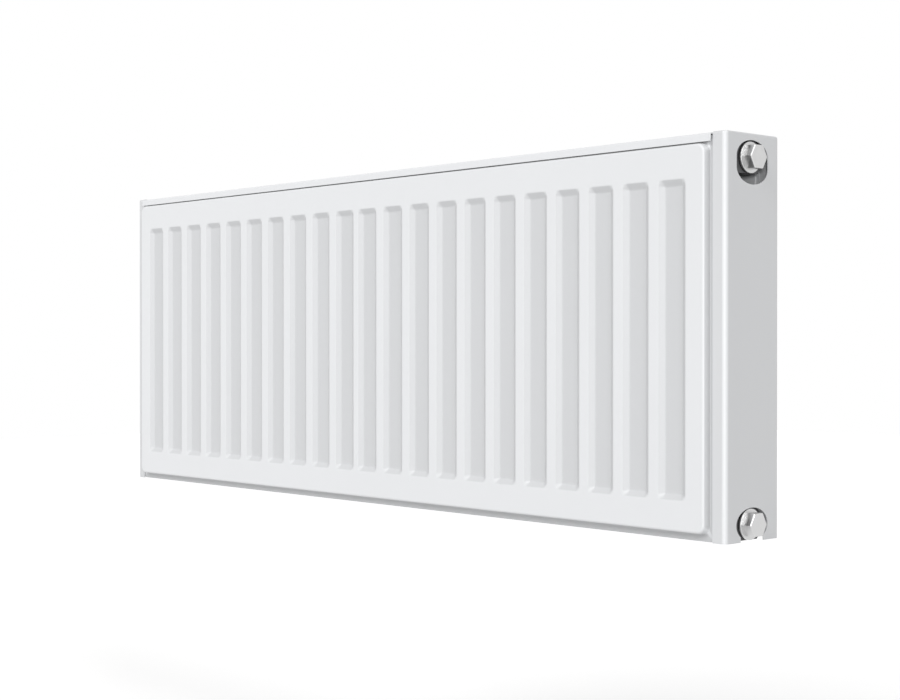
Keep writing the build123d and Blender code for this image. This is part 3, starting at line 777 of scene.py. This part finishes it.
def plug_grids(node):
    """Surface of a plug: rings of points along its axis, each ring's radius a function of its angle."""
    low, high = (np.array(c, dtype=float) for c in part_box(node))
    centre_y, centre_z = (low[1] + high[1]) / 2, (low[2] + high[2]) / 2
    seat = low[0] + SHANK
    around = np.linspace(0.0, 2 * np.pi, 145)

    def rings(x, radius):
        x = np.broadcast_to(x, radius.shape)
        y, z = centre_y + radius * np.cos(around), centre_z + radius * np.sin(around)
        grid = np.stack([x, y, z], axis=-1)
        grid[:, -1] = grid[:, 0]
        return grid

    plain = np.ones_like(around)
    along = np.linspace(THREAD_START, SHANK - RELIEF, 78)[:, None]
    phase = (along / THREAD_PITCH - around / (2 * np.pi)) % 1.0
    tooth = 1.0 - np.abs(2 * phase - 1.0)
    run_in = soft_ramp((along - THREAD_START) / THREAD_FADE, 0.2)
    run_out = soft_ramp((SHANK - RELIEF - along) / THREAD_FADE, 0.2)
    fade = run_in * run_out
    root = THREAD_CREST - THREAD_HEIGHT
    thread = rings(low[0] + along, root + THREAD_HEIGHT * soft_ramp(tooth * 1.3 - 0.15, 0.1) * fade)
    inner = np.array([[low[0] + HOLLOW_DEPTH, 0.0], [low[0] + HOLLOW_DEPTH, HOLLOW_RADIUS],
                      [low[0], HOLLOW_RADIUS], [low[0], root - 0.4 * MM], [low[0] + 0.4 * MM, root]])
    hollow = rings(inner[:, :1], inner[:, 1:] * plain)
    relief = np.array([[seat - RELIEF, root], [seat, root]])
    neck = rings(relief[:, :1], relief[:, 1:] * plain)
    turn = np.linspace(0.0, np.pi / 2, 6)
    edge_x = seat + FLANGE_HEIGHT - FLANGE_EDGE + FLANGE_EDGE * np.sin(turn)
    edge_r = FLANGE_RADIUS - FLANGE_EDGE + FLANGE_EDGE * np.cos(turn)
    edge = np.array([[seat, root], [seat, FLANGE_RADIUS - 0.2 * MM], [seat + 0.2 * MM, FLANGE_RADIUS]])
    flange = rings(edge[:, :1], edge[:, 1:] * plain)
    bevel = rings(edge_x[:, None], edge_r[:, None] * plain)
    hexagon = HEX_FLATS / 2 / np.cos((around % (np.pi / 3)) - np.pi / 6)
    base_x, face_x = seat + FLANGE_HEIGHT, high[0]
    top = hexagon * (1 - 2 * HEX_CHAMFER / HEX_FLATS)
    head = np.stack([
        rings(np.full((1, 1), base_x), hexagon[None])[0],
        rings(np.full((1, 1), face_x - HEX_CHAMFER), hexagon[None])[0],
        rings(np.full((1, 1), face_x), top[None])[0],
        rings(np.full((1, 1), face_x), 0.0 * top[None])[0],
    ])
    body = np.concatenate([hollow, thread, neck, flange, bevel, head])
    return [(body, True)]


for level in ("top", "bottom"):
    piece(f"blind_plug_{level}", plug_grids(f"plug_{level}_right"), f"plug_{level}", nickel,
          [f"plug_{level}_right"], sharp=28.0)

# %% [markdown]
# ## Finishes of the pieces that keep their own mesh
# Everything between the panels and inside the covers has the right shape already. It only needs its
# finish: a darker white on the inner sheets, convector and lugs, and near-black steel on the bushes and
# necks, both painted shade for the dark inside of the radiator, black rubber on the seals, zinc on the
# clips.

# %% Finishes by name
FINISHES = {
    "front_panel_inner_sheet": inner_white,
    "rear_panel_inner_sheet": inner_white,
    "convector": inner_white,
    "lug": inner_white,
    "bush": shade_dark_steel,
    "neck": shade_dark_steel,
    "seal": rubber,
    "grille_clip": zinc,
    "left_cover_tab": zinc,
    "right_cover_tab": zinc,
}
for node_name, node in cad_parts.items():
    for start, material in FINISHES.items():
        if node_name.startswith(start):
            node.data.materials.clear()
            node.data.materials.append(material)
            print(node_name, "gets", material.name)

# %% [markdown]
# ## Floor, background and light
# The floor lies well under the radiator, which hangs. The world shows pure white to the camera and in
# reflections, but lights the object at a plain level. The floor adds a glow there, which makes it white
# around the object's shadow and keeps the shadow itself. The key lamp stands high on the right, a broad one
# fills the front from above, and a small one at eye level brightens the cover's bend.

# %% Floor
FLOOR_DROP = 0.32
FLOOR_SIZE = 12.0
FLOOR_GLOW = 0.50
floor_z = bottom_z - FLOOR_DROP
half = FLOOR_SIZE / 2
floor_mesh = bpy.data.meshes.new("floor")
floor_mesh.from_pydata([(-half, -half, floor_z), (half, -half, floor_z), (half, half, floor_z),
                        (-half, half, floor_z)], [], [(0, 1, 2, 3)])
floor = bpy.data.objects.new("floor", floor_mesh)
bpy.context.scene.collection.objects.link(floor)


def camera_white(nodes, links, plain_shader, white_shader, output_socket):
    """Shows the white shader to the camera, in reflections and through glass, the plain one elsewhere."""
    rays = nodes.new("ShaderNodeLightPath")
    either = nodes.new("ShaderNodeMath")
    either.operation = "MAXIMUM"
    links.new(rays.outputs["Is Camera Ray"], either.inputs[0])
    links.new(rays.outputs["Is Glossy Ray"], either.inputs[1])
    seen = nodes.new("ShaderNodeMath")
    seen.operation = "MAXIMUM"
    links.new(either.outputs[0], seen.inputs[0])
    links.new(rays.outputs["Is Transmission Ray"], seen.inputs[1])
    mix = nodes.new("ShaderNodeMixShader")
    links.new(seen.outputs[0], mix.inputs["Fac"])
    links.new(plain_shader, mix.inputs[1])
    links.new(white_shader, mix.inputs[2])
    links.new(mix.outputs[0], output_socket)


floor_material = bpy.data.materials.new("floor")
floor_material.use_nodes = True
nodes, links = floor_material.node_tree.nodes, floor_material.node_tree.links
nodes["Principled BSDF"].inputs["Base Color"].default_value = (0.8, 0.8, 0.8, 1.0)
nodes["Principled BSDF"].inputs["Roughness"].default_value = 0.8
glow = nodes.new("ShaderNodeEmission")
glow.inputs["Strength"].default_value = FLOOR_GLOW
lit = nodes.new("ShaderNodeAddShader")
links.new(nodes["Principled BSDF"].outputs[0], lit.inputs[0])
links.new(glow.outputs[0], lit.inputs[1])
camera_white(nodes, links, nodes["Principled BSDF"].outputs[0], lit.outputs[0],
             nodes["Material Output"].inputs["Surface"])
floor_mesh.materials.append(floor_material)

# %% World
SKY = 0.30
world = bpy.data.worlds.new("studio")
bpy.context.scene.world = world
world.use_nodes = True
nodes, links = world.node_tree.nodes, world.node_tree.links
nodes["Background"].inputs["Color"].default_value = (1.0, 1.0, 1.0, 1.0)
nodes["Background"].inputs["Strength"].default_value = SKY
white_sky = nodes.new("ShaderNodeBackground")
white_sky.inputs["Color"].default_value = (1.0, 1.0, 1.0, 1.0)
camera_white(nodes, links, nodes["Background"].outputs[0], white_sky.outputs[0],
             nodes["World Output"].inputs["Surface"])


# %% Lamps
def lamp(name, towards_light, strength, spread):
    """A distant lamp; the direction points from the radiator to the lamp, the spread is in degrees."""
    data = bpy.data.lights.new(name, "SUN")
    data.energy = strength
    data.angle = math.radians(spread)
    made = bpy.data.objects.new(name, data)
    direction = np.array(towards_light) / np.linalg.norm(towards_light)
    made.rotation_euler = (math.acos(direction[2]), 0.0, math.atan2(direction[0], -direction[1]))
    bpy.context.scene.collection.objects.link(made)
    print(name, "strength", strength)
    return made


lamp("key", (0.776, -0.317, 0.546), 0.69, 14.0)
lamp("fill", (0.05, -0.80, 0.58), 1.22, 30.0)
lamp("edge light", (0.64, -0.77, 0.0), 0.84, 8.0)
bpy.context.scene.view_settings.view_transform = "Standard"
